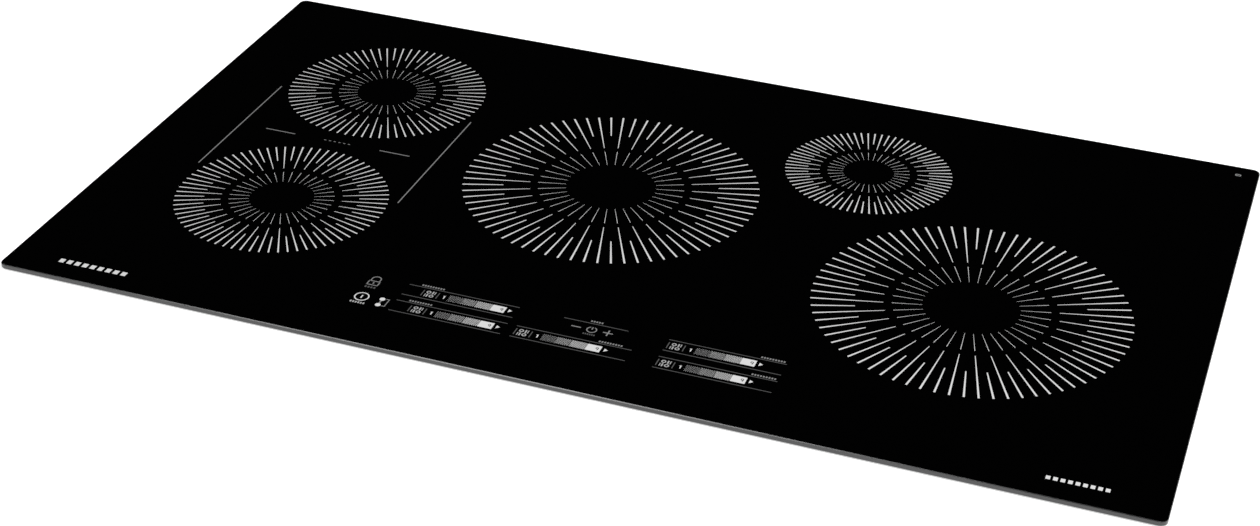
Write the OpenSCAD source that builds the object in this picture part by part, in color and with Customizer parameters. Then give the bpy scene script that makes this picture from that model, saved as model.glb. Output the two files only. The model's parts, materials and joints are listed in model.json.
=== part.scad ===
// Built-in electric induction cooktop with five cooking zones.
// The origin is the centre of the worktop plane that the glass rests on. +Z is up and -Y is the front.

/* [Glass top] */
// Width of the glass, left to right
glass_w = 931; // [912:1:1120]
// Depth of the glass, front to back
glass_d = 542; // [530:1:660]
// Thickness of the glass
glass_t = 4; // [3:0.5:8]
// Radius of the glass's corners
glass_corner_r = 6.5; // [4:0.5:20]
// Width of the ground bevel round the top edge
bevel_w = 0.5; // [0.3:0.1:2]
// Width of the small arris round the lower edge
arris_w = 0.4; // [0.2:0.1:0.8]

/* [Seal and frame] */
// Thickness of the foam seal between glass and worktop
gasket_t = 1; // [1:0.1:4]
// Width of the foam seal
gasket_w = 14; // [8:1:20]
// Distance of the foam seal from the glass's edge
gasket_inset = 6; // [3:1:10]
// Thickness of the silicone bead that bonds the frame to the glass
bead_t = 0.8; // [0.5:0.1:1.2]
// Sheet thickness of the steel frame under the glass
frame_t = 1; // [0.8:0.1:1.5]
// Width of the frame's bonded flange
frame_flange = 14; // [10:1:20]
// Depth of the frame's skirt below the worktop plane
skirt_h = 22; // [18:1:30]

/* [Housing] */
// How far the glass reaches past the housing, left and right
overhang_x = 41; // [38:1:60]
// How far the glass reaches past the housing, front and back
overhang_y = 33.5; // [30:0.5:50]
// Depth of the housing below the worktop plane
housing_h = 90; // [74:1:120]
// Sheet thickness of the housing
sheet_t = 1; // [0.8:0.1:1.5]
// Inner radius of the housing's folds
fold_r = 1.5; // [1:0.1:3]
// Width of the end panels' folded flanges
panel_flange = 12; // [10:1:20]

/* [Cooking zones] */
// Radius of the two linked zones on the left
left_zone_r = 90; // [75:0.5:108]
// Radius of the centre zone
centre_zone_r = 127; // [100:0.5:153]
// Radius of the right rear zone
right_rear_zone_r = 72.5; // [60:0.5:78]
// Radius of the right front zone
right_front_zone_r = 127; // [100:0.5:130]
// From the glass's left edge to the left zones' centres
left_inset = 160.9; // [155:0.1:170]
// From the glass's back edge to the left rear zone's centre
left_rear_inset = 150.1; // [140:0.1:155]
// From the glass's front edge to the left front zone's centre
left_front_inset = 179.9; // [160:0.1:182]
// Sideways place of the centre zone, from the glass's centre
centre_x = -53.5; // [-60:0.1:-45]
// Place of the centre zone towards the back, from the glass's centre
centre_y = 30.7; // [25:0.1:40]
// From the glass's right edge to the right rear zone's centre
right_rear_side_inset = 320; // [310:0.1:325]
// From the glass's back edge to the right rear zone's centre
right_rear_inset = 132.6; // [120:0.1:135]
// From the glass's right edge to the right front zone's centre
right_front_side_inset = 188; // [180:0.1:195]
// From the glass's front edge to the right front zone's centre
right_front_inset = 224.9; // [215:0.1:235]

/* [Coils] */
// Thickness of the ceramic fibre disc on each coil
felt_t = 4; // [2:0.5:6]
// Thickness of each winding
winding_t = 4.5; // [3:0.1:7]
// Spacing of the winding's turns
turn_pitch = 4; // [3:0.5:6]
// Inner radius of each winding
winding_hub_r = 24; // [18:1:30]
// Thickness of each coil former
former_t = 5; // [4:0.5:8]
// Width of a ferrite bar
ferrite_w = 12; // [8:1:14]
// Ferrite bars under each coil
ferrite_count = 8; // [6:1:10]
// Thickness of the aluminium coil plates
plate_t = 1.5; // [1:0.1:3]
// How far the coil plates can be pressed down
plate_travel = 3; // [1:0.5:5]
// Free height of the springs under the coil plates
spring_h = 19; // [14:1:24]

/* [Electronics] */
// Width of a power board
board_w = 150; // [140:1:180]
// Depth of a power board
board_d = 250; // [220:1:260]
// Thickness of the circuit boards
board_t = 1.6; // [1.2:0.2:2.4]
// Height of the boards above the housing's floor
standoff_h = 8; // [5:1:12]
// Width of a heat sink
sink_w = 66; // [54:6:78]
// Length of a heat sink along the air flow
sink_d = 130; // [80:5:140]
// Radius of the fan impellers
impeller_r = 36; // [28:0.5:44]
// Height of the fan impellers
impeller_h = 22; // [14:1:28]

/* [Worktop clamps] */
// Thickness of the worktop that the clamp screws are set to
worktop_t = 30; // [24:1:36]
// Thickness of the clamp brackets
bracket_t = 2; // [1.5:0.5:3]
// Radius of the clamp screws
clamp_r = 3; // [2.5:0.5:4]

/* [Hidden] */
$fn = 48;
eps = 0.01;

// Fits
nest_gap = 0.2;       // between the frame's skirt and the housing
slip_gap = 0.1;       // round what slides or turns, on the radius
pocket_gap = 0.2;     // round a ferrite bar in its pocket
pin_gap = 0.6;        // round a guide pin in a coil plate's hole
solder_gap = 0.3;     // between parts that stand close together
bend_swell = 0.25;    // of a wire at its bends

// Heights: the worktop plane is 0
glass_z = gasket_t;
flange_z = glass_z - bead_t - frame_t;
housing_top_z = flange_z - 1.5;
floor_z = -housing_h + sheet_t;
felt_z = glass_z - felt_t;
winding_z = felt_z - winding_t;
former_z = winding_z - former_t;
plate_z = former_z - plate_t;
spring_z = plate_z - spring_h;
wire_r = 2;
wire_z = plate_z - plate_travel - wire_r - 2;
board_z = floor_z + standoff_h;
board_top_z = board_z + board_t;
sink_top_z = wire_z - wire_r - 8;

// Plan sizes
housing_w = glass_w - 2 * overhang_x;
housing_d = glass_d - 2 * overhang_y;
inner_w = housing_w - 2 * sheet_t;
inner_d = housing_d - 2 * sheet_t;
frame_w = housing_w + 2 * (nest_gap + frame_t);
frame_d = housing_d + 2 * (nest_gap + frame_t);
inner_corner_r = 0.6;
frame_corner_r = frame_t + inner_corner_r;

// Cooking zones: x, y and radius
left_rear = [-glass_w / 2 + left_inset, glass_d / 2 - left_rear_inset, left_zone_r];
left_front = [-glass_w / 2 + left_inset, -glass_d / 2 + left_front_inset, left_zone_r];
centre = [centre_x, centre_y, centre_zone_r];
right_rear = [glass_w / 2 - right_rear_side_inset, glass_d / 2 - right_rear_inset, right_rear_zone_r];
right_front = [glass_w / 2 - right_front_side_inset, -glass_d / 2 + right_front_inset, right_front_zone_r];
left_zones = [left_rear, left_front];
right_zones = [centre, right_rear, right_front];
felt_margin = 2;
former_margin = 4;
winding_margin = 8;
sensor_r = 5.5;
sensor_foot_r = 9;
sensor_foot_h = 2;
former_hole_r = 10;
pocket_roof = 1;
ferrite_start_r = winding_hub_r - 4;

// Coil plates
plate_margin = 3;
plate_corner_r = 8;
left_plate_x0 = left_rear[0] - left_zone_r - plate_margin;
left_plate_x1 = left_rear[0] + left_zone_r + plate_margin;
left_plate_y0 = left_front[1] - left_zone_r - plate_margin;
left_plate_y1 = left_rear[1] + left_zone_r + plate_margin;
centre_plate_x0 = centre_x - centre_zone_r - plate_margin;
centre_plate_y0 = centre_y - centre_zone_r - plate_margin;
right_plate_x0 = right_front[0] - right_front_zone_r - plate_margin;
right_plate_x1 = right_front[0] + right_front_zone_r + plate_margin;
right_plate_y0 = right_front[1] - right_front_zone_r - plate_margin;
right_plate_y1 = max(right_rear[1] + right_rear_zone_r, centre_y + centre_zone_r) + plate_margin;

// Spring posts stand under the plates' corners
post_r = 6;
post_inset = 10;
guide_r = 2.5;
guide_rise = 4;
left_posts = [for (x = [left_plate_x0 + post_inset, left_plate_x1 - post_inset])
    for (y = [left_plate_y0 + post_inset, left_plate_y1 - post_inset]) [x, y]];
right_posts = [
    [centre_plate_x0 + post_inset, centre_plate_y0 + post_inset],
    [centre_plate_x0 + post_inset, right_plate_y1 - post_inset],
    [right_plate_x0 + post_inset, right_plate_y0 + post_inset],
    [right_plate_x1 - post_inset, right_plate_y0 + post_inset],
    [right_plate_x1 - post_inset, right_plate_y1 - post_inset]];
spring_r = 5;
spring_wire_r = 0.6;
spring_turns = 4;
spring_steps = 12;
spring_sides = 6;

// Fans: a snail-shaped scroll whose outlet blows towards the front
scroll_wall = 2;
tongue_gap = 4;
scroll_growth = 30;
scroll_h = impeller_h + 2 * scroll_wall + 6;
scroll_z = floor_z + sheet_t;
outlet_l = 75;
intake_r = impeller_r - 8;
shaft_r = 2;
fan_gap = 5;
scroll_right = impeller_r + tongue_gap + scroll_growth / 2 + scroll_wall;
fan_y = inner_d / 2 - impeller_r - tongue_gap - 0.75 * scroll_growth - scroll_wall - fan_gap;
right_fan_x = right_plate_x1 - post_inset - post_r - fan_gap - scroll_right;
blade_count = 30;

// Boards and heat sinks stand in front of the fans
outlet_x = impeller_r + tongue_gap + scroll_growth / 2;
sink_end_gap = 6;
sink_y1 = fan_y - outlet_l - sink_end_gap;
board_y1 = sink_y1 + 4;
board_edge = 14;
fin_t = 2;
fin_pitch = 6;
sink_base_t = 4;
transistor_rail = 12;
transistor_w = 8;
standoff_r = 3.5;
standoff_inset = 8;
filter_w = 170;
filter_d = 110;
filter_x0 = centre_plate_x0 + post_inset + post_r + 12;
filter_y1 = inner_d / 2 - 30;

left_fan_x = -inner_w / 2 + panel_flange + fan_gap + board_edge + sink_w / 2 + outlet_x;
function sink_x(fan_x) = fan_x - outlet_x;
function board_x0(fan_x) = sink_x(fan_x) - sink_w / 2 - board_edge;
function corners(x0, y0, w, d) = [for (x = [x0 + standoff_inset, x0 + w - standoff_inset])
    for (y = [y0 + standoff_inset, y0 + d - standoff_inset]) [x, y]];
all_standoffs = concat(
    corners(board_x0(left_fan_x), board_y1 - board_d, board_w, board_d),
    corners(board_x0(right_fan_x), board_y1 - board_d, board_w, board_d),
    corners(filter_x0, filter_y1 - filter_d, filter_w, filter_d));

// Supply inlet in the rear wall
inlet_x = filter_x0 + filter_w + 35;
inlet_z = (floor_z - skirt_h) / 2;
inlet_thread_r = 14;
inlet_bore_r = 10.5;
inlet_out_l = 18;
inlet_in_l = 8;
terminal_w = 56;
terminal_d = 26;
terminal_h = 24;
terminal_y = inner_d / 2 - fold_r - solder_gap - terminal_d;
terminal_x0 = inlet_x + inlet_thread_r + 12;

// Touch control under the front of the glass
ribbon_w = 12;
ribbon_t = 1;
ribbon_gap = 2.5;
ribbon_x = centre_plate_x0 + post_inset - post_r - ribbon_gap - ribbon_w / 2;
control_x0 = ribbon_x - ribbon_w / 2 - 6;
control_x1 = 176;
control_gap = 1.5;
control_wall = 2;
control_y0 = -inner_d / 2 + 14;
control_y1 = right_plate_y0 - control_gap;
control_d = control_y1 - control_y0;
control_h = 14;
pad_h = 5;
touch_z = glass_z - pad_h - board_t;
pad_r = 4;
ribbon_y = control_y1 - 6;
slider_rows = [-glass_d / 2 + 84.2, -glass_d / 2 + 59.3];
slider_x = [-87, 2, 118];
key_x = -175;
timer_x = 11;
timer_pitch = 14;
display_w = 12;
display_d = 10;
display_dx = -44;

// Fasteners
screw_r = 1.9;
screw_hole_r = 1.95;
clear_hole_r = 2.2;
screw_head_r = 3.8;
screw_head_h = 2.2;
screw_l = 8;
skirt_screw_z = -skirt_h / 2 - 2;
skirt_screw_inset = 60;
skirt_screws_x = [-housing_w / 2 + skirt_screw_inset, 0, housing_w / 2 - skirt_screw_inset];
skirt_screws_y = [-housing_d / 2 + skirt_screw_inset, housing_d / 2 - skirt_screw_inset];

// Worktop clamps on the end panels
clamp_y = housing_d / 2 - 110;
bracket_w = 26;
bracket_foot_gap = 8;
bracket_reach = 30;
clamp_reach = 20;
clamp_l = 45;
clamp_pad_r = 6;
clamp_pad_h = 3;
clamp_head_r = 6;
clamp_head_h = 4;
bracket_z = -worktop_t - 20;
bracket_leg = housing_h + bracket_z - bracket_t - bracket_foot_gap;
bracket_screw_z = bracket_z - bracket_t - bracket_leg / 2;
bracket_screw_dy = 8;

// Vents
grille_w = sink_w + 20;
grille_h = 40;
grille_lip = 6;
grille_slots = 14;
grille_slot_w = 4;
grille_z = floor_z + 12;
guard_w = 2 * intake_r + 28;
guard_rings = 4;

// ---- Shared shapes ----

module rounded_rect(w, d, r) {
    square([w - 2 * r, d], center = true);
    square([w, d - 2 * r], center = true);
    for (x = [-1, 1]) for (y = [-1, 1])
        translate([x * (w / 2 - r), y * (d / 2 - r)]) circle(r);
}

module rect_ring(w, d, r, band) {
    difference() {
        rounded_rect(w, d, r);
        rounded_rect(w - 2 * band, d - 2 * band, max(r - band, inner_corner_r));
    }
}

module slot(l, w) {
    square([l - w, w], center = true);
    for (s = [-1, 1]) translate([s * (l - w) / 2, 0]) circle(w / 2);
}

// A pan-head screw at the origin: the head is on the +Z side and the shank points to -Z
module pan_screw(shank_l) {
    translate([0, 0, -shank_l]) cylinder(r = screw_r, h = shank_l + eps);
    difference() {
        cylinder(r1 = screw_head_r, r2 = screw_head_r - 0.8, h = screw_head_h);
        for (a = [0, 90]) rotate(a) translate([0, 0, screw_head_h])
            cube([screw_head_r, 0.8, 2 * 0.9], center = true);
    }
}

// A wire through the given points, with a slightly thicker bend at each inner point
module wire(points, r = wire_r) {
    for (i = [0 : len(points) - 2]) {
        run = points[i + 1] - points[i];
        flat = norm([run[0], run[1]]);
        translate(points[i]) rotate([0, atan2(flat, run[2]), atan2(run[1], run[0])])
            cylinder(r = r, h = norm(run));
        if (i > 0) translate(points[i]) sphere(r + bend_swell);
    }
}

// ---- Glass, seal and frame ----

// Half of the glass's section: a small arris below, the ground bevel above
function glass_half(reach) = [[reach - arris_w, 0], [reach, arris_w],
    [reach, glass_t - bevel_w], [reach - bevel_w, glass_t]];

module glass_strip(length, width) {
    half = glass_half(width / 2);
    translate([0, 0, -length / 2]) linear_extrude(length)
        polygon(concat(half, [for (k = [3 : -1 : 0]) [-half[k][0], half[k][1]]]));
}

module glass_top() {
    r = glass_corner_r;
    color("black") translate([0, 0, glass_z]) {
        rotate([90, 0, 90]) glass_strip(glass_w - 2 * r, glass_d);
        rotate([90, 0, 0]) glass_strip(glass_d - 2 * r, glass_w);
        for (x = [-1, 1]) for (y = [-1, 1]) translate([x * (glass_w / 2 - r), y * (glass_d / 2 - r), 0])
            rotate_extrude() polygon(concat([[0, 0]], glass_half(r), [[0, glass_t]]));
    }
}

module worktop_gasket() {
    color("dimgray") linear_extrude(gasket_t)
        rect_ring(glass_w - 2 * gasket_inset, glass_d - 2 * gasket_inset, 4, gasket_w);
}

module frame_adhesive() {
    color("black") translate([0, 0, glass_z - bead_t]) linear_extrude(bead_t)
        rect_ring(frame_w - 4, frame_d - 4, frame_corner_r, frame_flange - 4);
}

module skirt_screw_holes(r) {
    for (x = skirt_screws_x) translate([x, 0, skirt_screw_z]) rotate([90, 0, 0])
        cylinder(r = r, h = frame_d + 2, center = true);
    for (y = skirt_screws_y) translate([0, y, skirt_screw_z]) rotate([0, 90, 0])
        cylinder(r = r, h = frame_w + 2, center = true);
}

module glass_frame() {
    color("silver") difference() {
        union() {
            translate([0, 0, flange_z]) linear_extrude(frame_t)
                rect_ring(frame_w, frame_d, frame_corner_r, frame_flange);
            translate([0, 0, -skirt_h]) linear_extrude(skirt_h + flange_z + frame_t / 2)
                rect_ring(frame_w, frame_d, frame_corner_r, frame_t);
        }
        skirt_screw_holes(clear_hole_r);
    }
}

// ---- Housing ----

// Section of the folded tray: floor, front wall and rear wall with rounded folds
module tray_section() {
    outer_r = fold_r + sheet_t;
    wall_h = housing_top_z + housing_h - outer_r;
    translate([-housing_d / 2 + outer_r, -housing_h]) square([housing_d - 2 * outer_r, sheet_t]);
    for (s = [-1, 1]) {
        translate([s * (housing_d / 2 - sheet_t / 2) - sheet_t / 2, -housing_h + outer_r])
            square([sheet_t, wall_h]);
        translate([s * (housing_d / 2 - outer_r), -housing_h + outer_r]) intersection() {
            difference() {
                circle(outer_r);
                circle(fold_r);
            }
            translate([s > 0 ? 0 : -outer_r, -outer_r]) square(outer_r);
        }
    }
}

module stiffening_groove(l) {
    groove_r = 2.5;
    depth = 0.5;
    translate([0, 0, -housing_h - groove_r + depth]) rotate([0, 90, 0])
        cylinder(r = groove_r, h = l, center = true);
}

module base_tray() {
    groove_l = housing_w - 240;
    color("gainsboro") difference() {
        rotate([90, 0, 90]) translate([0, 0, -housing_w / 2]) linear_extrude(housing_w) tray_section();
        skirt_screw_holes(screw_hole_r);
        for (x = [left_fan_x, right_fan_x]) translate([x, fan_y, -housing_h - 1])
            cylinder(r = intake_r, h = sheet_t + 2);
        for (x = [sink_x(left_fan_x), sink_x(right_fan_x)])
            translate([x - grille_w / 2, -housing_d / 2 - 1, grille_z])
                cube([grille_w, sheet_t + 2, grille_h]);
        translate([inlet_x, housing_d / 2 + 1, inlet_z]) rotate([90, 0, 0])
            cylinder(r = inlet_thread_r + slip_gap, h = sheet_t + 2);
        for (y = [-150, -60, 30]) translate([0, y, 0]) stiffening_groove(groove_l);
    }
}

// End panel in its own frame: its outer face is at x = 0 and the flanges point to -X
module end_panel_shape() {
    panel_h = housing_top_z - floor_z;
    lip_r = fold_r + 0.5;
    module outline(shrink) {
        translate([-inner_d / 2 + shrink, shrink]) difference() {
            square([inner_d - 2 * shrink, panel_h]);
            for (x = [0, inner_d - 2 * shrink]) translate([x, 0]) square(2 * lip_r, center = true);
        }
    }
    translate([0, 0, floor_z]) rotate([90, 0, 90]) {
        translate([0, 0, -sheet_t]) linear_extrude(sheet_t) outline(0);
        translate([0, 0, -panel_flange]) linear_extrude(panel_flange - sheet_t + eps) {
            translate([-inner_d / 2 + lip_r, 0]) square([inner_d - 2 * lip_r, sheet_t]);
            for (s = [-1, 1]) translate([s * (inner_d - sheet_t) / 2 - sheet_t / 2, lip_r])
                square([sheet_t, panel_h - lip_r - 10]);
        }
    }
}

module end_panel(side) {
    color("gainsboro") difference() {
        mirror([side < 0 ? 1 : 0, 0, 0]) translate([housing_w / 2, 0, 0]) end_panel_shape();
        skirt_screw_holes(screw_hole_r);
        for (y = [-clamp_y, clamp_y]) for (dy = [-bracket_screw_dy, bracket_screw_dy])
            translate([side * housing_w / 2, y + dy, bracket_screw_z]) rotate([0, 90, 0])
                cylinder(r = screw_hole_r, h = 3 * sheet_t, center = true);
    }
}

module intake_guards() {
    bar_w = 1.8;
    spoke_w = 4;
    open_r = intake_r - 1;
    color("silver") for (x = [left_fan_x, right_fan_x])
        translate([x, fan_y, floor_z]) linear_extrude(sheet_t) difference() {
            rounded_rect(guard_w, guard_w, 4);
            difference() {
                for (k = [1 : guard_rings]) difference() {
                    circle(open_r * k / guard_rings);
                    circle(open_r * (k - 1) / guard_rings + bar_w);
                }
                for (a = [0, 90]) rotate(a) square([2 * intake_r, spoke_w], center = true);
            }
        }
}

module exhaust_grilles() {
    color("silver") for (x = [sink_x(left_fan_x), sink_x(right_fan_x)])
        translate([x, -inner_d / 2 + sheet_t, grille_z + grille_h / 2]) rotate([90, 0, 0])
            linear_extrude(sheet_t) difference() {
                square([grille_w + 2 * grille_lip, grille_h + 2 * grille_lip], center = true);
                for (i = [0 : grille_slots - 1])
                    translate([(i - (grille_slots - 1) / 2) * grille_w / grille_slots, 0]) rotate(90)
                        slot(grille_h - 4, grille_slot_w);
            }
}

// ---- Worktop clamps ----

module clamp_places() {
    for (side = [-1, 1]) for (y = [-clamp_y, clamp_y]) translate([side * housing_w / 2, y, 0])
        mirror([side < 0 ? 1 : 0, 0, 0]) children();
}

module clamp_brackets() {
    color("lightgray") clamp_places() difference() {
        rotate([90, 0, 0]) translate([0, 0, -bracket_w / 2]) linear_extrude(bracket_w) {
            translate([0, bracket_z - bracket_t - bracket_leg]) square([bracket_t, bracket_leg + bracket_t]);
            translate([0, bracket_z - bracket_t]) square([bracket_reach, bracket_t]);
        }
        translate([clamp_reach, 0, bracket_z - bracket_t - 1])
            cylinder(r = clamp_r + slip_gap, h = bracket_t + 2);
        for (dy = [-bracket_screw_dy, bracket_screw_dy]) translate([-1, dy, bracket_screw_z])
            rotate([0, 90, 0]) cylinder(r = clear_hole_r, h = bracket_t + 2);
    }
}

module clamp_screw(side_x, side_y) {
    x = side_x * (housing_w / 2 + clamp_reach);
    color("silver") translate([x, side_y * clamp_y, -worktop_t]) {
        translate([0, 0, -clamp_pad_h]) cylinder(r = clamp_pad_r, h = clamp_pad_h);
        translate([0, 0, -clamp_l]) cylinder(r = clamp_r, h = clamp_l - eps);
        translate([0, 0, -clamp_l - clamp_head_h])
            cylinder(r = clamp_head_r, h = clamp_head_h + eps, $fn = 6);
    }
}

module housing_screws() {
    color("silver") {
        for (x = skirt_screws_x) for (s = [-1, 1])
            translate([x, s * frame_d / 2, skirt_screw_z]) rotate([-s * 90, 0, 0]) pan_screw(screw_l);
        for (y = skirt_screws_y) for (s = [-1, 1])
            translate([s * frame_w / 2, y, skirt_screw_z]) rotate([0, s * 90, 0]) pan_screw(screw_l);
        clamp_places() for (dy = [-bracket_screw_dy, bracket_screw_dy])
            translate([bracket_t, dy, bracket_screw_z]) rotate([0, 90, 0]) pan_screw(screw_l);
    }
}

// ---- Coils ----

module plate_outline_left() {
    translate([(left_plate_x0 + left_plate_x1) / 2, (left_plate_y0 + left_plate_y1) / 2])
        rounded_rect(left_plate_x1 - left_plate_x0, left_plate_y1 - left_plate_y0, plate_corner_r);
}

module plate_outline_right() {
    translate([centre_plate_x0, centre_plate_y0])
        square([right_plate_x1 - centre_plate_x0, right_plate_y1 - centre_plate_y0]);
    translate([right_plate_x0, right_plate_y0])
        square([right_plate_x1 - right_plate_x0, right_plate_y1 - right_plate_y0]);
}

module coil_plate(zones, posts, drops) {
    color("silver") translate([0, 0, plate_z]) linear_extrude(plate_t) difference() {
        children();
        for (p = posts) translate(p) circle(guide_r + pin_gap);
        for (p = drops) translate([p[0], p[1]]) circle(wire_r + 1.5);
    }
}

module winding(zone) {
    outer_r = zone[2] - winding_margin;
    turns = floor((outer_r - winding_hub_r) / turn_pitch);
    color("peru") translate([zone[0], zone[1], winding_z]) rotate_extrude() {
        translate([outer_r - turns * turn_pitch, 0]) square([turns * turn_pitch, winding_t / 2]);
        intersection() {
            for (i = [0 : turns - 1]) translate([outer_r - (i + 0.5) * turn_pitch, winding_t / 2])
                circle(winding_t / 2);
            translate([outer_r - turns * turn_pitch, 0]) square([turns * turn_pitch, winding_t]);
        }
    }
}

function ferrite_l(zone) = zone[2] - winding_margin - ferrite_start_r;

module ferrite_places(zone) {
    for (k = [0 : ferrite_count - 1]) translate([zone[0], zone[1], former_z])
        rotate(360 * (k + 0.5) / ferrite_count)
            translate([ferrite_start_r + ferrite_l(zone) / 2, 0, 0]) children();
}

module former(zone) {
    color("ivory") difference() {
        translate([zone[0], zone[1], former_z]) difference() {
            cylinder(r = zone[2] - former_margin, h = former_t);
            translate([0, 0, -1]) cylinder(r = former_hole_r, h = former_t + 2);
        }
        ferrite_places(zone) translate([-ferrite_l(zone) / 2 - pocket_gap, -ferrite_w / 2 - pocket_gap, -1])
            cube([ferrite_l(zone) + 2 * pocket_gap, ferrite_w + 2 * pocket_gap, former_t + 1 - pocket_roof]);
    }
}

module ferrites(zones) {
    color("dimgray") for (zone = zones) ferrite_places(zone)
        translate([-ferrite_l(zone) / 2, -ferrite_w / 2, 0])
            cube([ferrite_l(zone), ferrite_w, former_t - pocket_roof - pocket_gap]);
}

module insulation_discs(zones) {
    color("whitesmoke") for (zone = zones) translate([zone[0], zone[1], felt_z]) difference() {
        cylinder(r = zone[2] - felt_margin, h = felt_t);
        translate([0, 0, -1]) cylinder(r = sensor_r + 2, h = felt_t + 2);
    }
}

module sensors(zones) {
    color("white") for (zone = zones) translate([zone[0], zone[1], former_z]) {
        cylinder(r = sensor_foot_r, h = sensor_foot_h);
        cylinder(r = sensor_r, h = glass_z - former_z);
    }
}

module spring_posts() {
    color("white") for (p = concat(left_posts, right_posts)) translate([p[0], p[1], floor_z]) {
        cylinder(r = post_r, h = spring_z - floor_z);
        cylinder(r = guide_r, h = plate_z + plate_t + guide_rise - floor_z);
    }
}

// Points round a helix, one ring of the wire's section at each step
function helix_rings(r, rise, turns) = [for (k = [0 : turns * spring_steps])
    let (a = 360 * k / spring_steps, z = rise * k / (turns * spring_steps))
    for (j = [0 : spring_sides - 1])
        let (t = 360 * j / spring_sides, q = r + spring_wire_r * cos(t))
            [q * cos(a), q * sin(a), z + spring_wire_r * sin(t)]];

module spring(r, rise, turns) {
    last = turns * spring_steps;
    polyhedron(
        points = helix_rings(r, rise, turns),
        faces = concat(
            [[for (j = [0 : spring_sides - 1]) j]],
            [for (k = [0 : last - 1]) for (j = [0 : spring_sides - 1])
                let (a = k * spring_sides, n = (j + 1) % spring_sides)
                    [a + j, a + spring_sides + j, a + spring_sides + n, a + n]],
            [[for (j = [spring_sides - 1 : -1 : 0]) last * spring_sides + j]]));
}

module plate_springs(posts) {
    color("silver") for (p = posts) translate([p[0], p[1], spring_z + spring_wire_r])
        spring(spring_r - spring_wire_r, spring_h - 2 * spring_wire_r, spring_turns);
}

// ---- Fans ----

// Snail outline round the impeller, grown by a wall
module scroll_outline(wall) {
    start_r = impeller_r + tongue_gap + wall;
    polygon([for (a = [0 : 10 : 360]) (start_r + scroll_growth * a / 360) * [-cos(a), -sin(a)]]);
    translate([-start_r - scroll_growth, -outlet_l]) square([scroll_growth + 2 * wall, outlet_l]);
}

module fan_scroll(x) {
    color("dimgray") translate([x, fan_y, scroll_z]) difference() {
        union() {
            linear_extrude(scroll_h) scroll_outline(scroll_wall);
            translate([0, 0, scroll_h]) cylinder(r = 9, h = 4);
        }
        translate([0, 0, scroll_wall]) linear_extrude(scroll_h - 2 * scroll_wall) scroll_outline(0);
        translate([-impeller_r - tongue_gap - scroll_growth, -outlet_l - 1, scroll_wall])
            cube([scroll_growth, outlet_l, scroll_h - 2 * scroll_wall]);
        translate([0, 0, -1]) cylinder(r = intake_r, h = scroll_wall + 2);
        translate([0, 0, scroll_h - scroll_wall - 1]) cylinder(r = shaft_r + slip_gap / 2, h = 6);
    }
}

module fan_impeller(x) {
    disc_t = 1.5;
    ring_w = 2;
    color("black") translate([x, fan_y, scroll_z + scroll_wall + 2]) {
        translate([0, 0, impeller_h - disc_t]) cylinder(r = impeller_r, h = disc_t);
        translate([0, 0, impeller_h - 16]) cylinder(r = 12, h = 16);
        difference() {
            cylinder(r = impeller_r, h = ring_w);
            translate([0, 0, -1]) cylinder(r = impeller_r - 6, h = ring_w + 2);
        }
        for (k = [0 : blade_count - 1]) rotate(360 * k / blade_count)
            translate([impeller_r - 3.4, 0, impeller_h / 2]) rotate(35)
                cube([5, 0.8, impeller_h - 0.2], center = true);
        cylinder(r = shaft_r, h = impeller_h + 5);
    }
}

// ---- Electronics ----

module board(x0, y0, w, d) {
    color("darkgreen") translate([0, 0, board_z]) linear_extrude(board_t) difference() {
        translate([x0, y0]) square([w, d]);
        for (p = corners(x0, y0, w, d)) translate(p) circle(screw_hole_r);
    }
}

module power_board(fan_x) {
    board(board_x0(fan_x), board_y1 - board_d, board_w, board_d);
}

module heat_sink(fan_x) {
    fins = floor((sink_w - 2 * transistor_rail - fin_t) / fin_pitch);
    color("silver") translate([sink_x(fan_x), sink_y1, board_top_z]) rotate([90, 0, 0])
        linear_extrude(sink_d) {
            translate([-sink_w / 2, 0]) square([sink_w, sink_base_t]);
            for (i = [0 : fins]) translate([(i - fins / 2) * fin_pitch - fin_t / 2, 0])
                square([fin_t, sink_top_z - board_top_z]);
        }
}

module power_transistors() {
    body_d = 16;
    body_h = 5;
    count = 4;
    pitch = sink_d / (count + 1);
    color("black") for (fan_x = [left_fan_x, right_fan_x]) for (s = [-1, 1]) for (i = [0 : count - 1])
        translate([sink_x(fan_x) + s * (sink_w / 2 - transistor_w / 2 - 1), sink_y1 - (i + 1) * pitch,
            board_top_z + sink_base_t]) {
            translate([-transistor_w / 2, -body_d / 2, 0]) cube([transistor_w, body_d, body_h]);
            translate([0, 0, body_h - eps]) cylinder(r = 2.4, h = 2);
        }
}

module capacitors() {
    module film(x, y) { translate([x, y, board_top_z]) cube([26, 14, 24]); }
    module electrolytic(x, y) { translate([x, y, board_top_z]) cylinder(r = 9, h = 28); }
    color("goldenrod") {
        for (fan_x = [left_fan_x, right_fan_x]) {
            x0 = board_x0(fan_x);
            y0 = board_y1 - board_d;
            for (i = [0 : 2]) film(x0 + 20, y0 + 22 + 20 * i);
            for (i = [0 : 1]) electrolytic(x0 + 66, y0 + 30 + 24 * i);
        }
        for (i = [0 : 2]) film(filter_x0 + filter_w - 44, filter_y1 - 92 + 22 * i);
    }
}

module filter_chokes() {
    ring_r = 16;
    section_r = 6;
    color("darkorange") for (i = [0 : 1])
        translate([filter_x0 + 44 + i * 50, filter_y1 - filter_d / 2, board_top_z + section_r])
            rotate_extrude() translate([ring_r, 0]) {
                circle(section_r);
                translate([-section_r, -section_r]) square([2 * section_r, section_r]);
            }
}

module filter_board() {
    board(filter_x0, filter_y1 - filter_d, filter_w, filter_d);
}

module board_standoffs() {
    color("white") for (p = all_standoffs) translate([p[0], p[1], floor_z]) difference() {
        cylinder(r = standoff_r, h = standoff_h);
        translate([0, 0, 1]) cylinder(r = screw_hole_r, h = standoff_h);
    }
}

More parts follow.
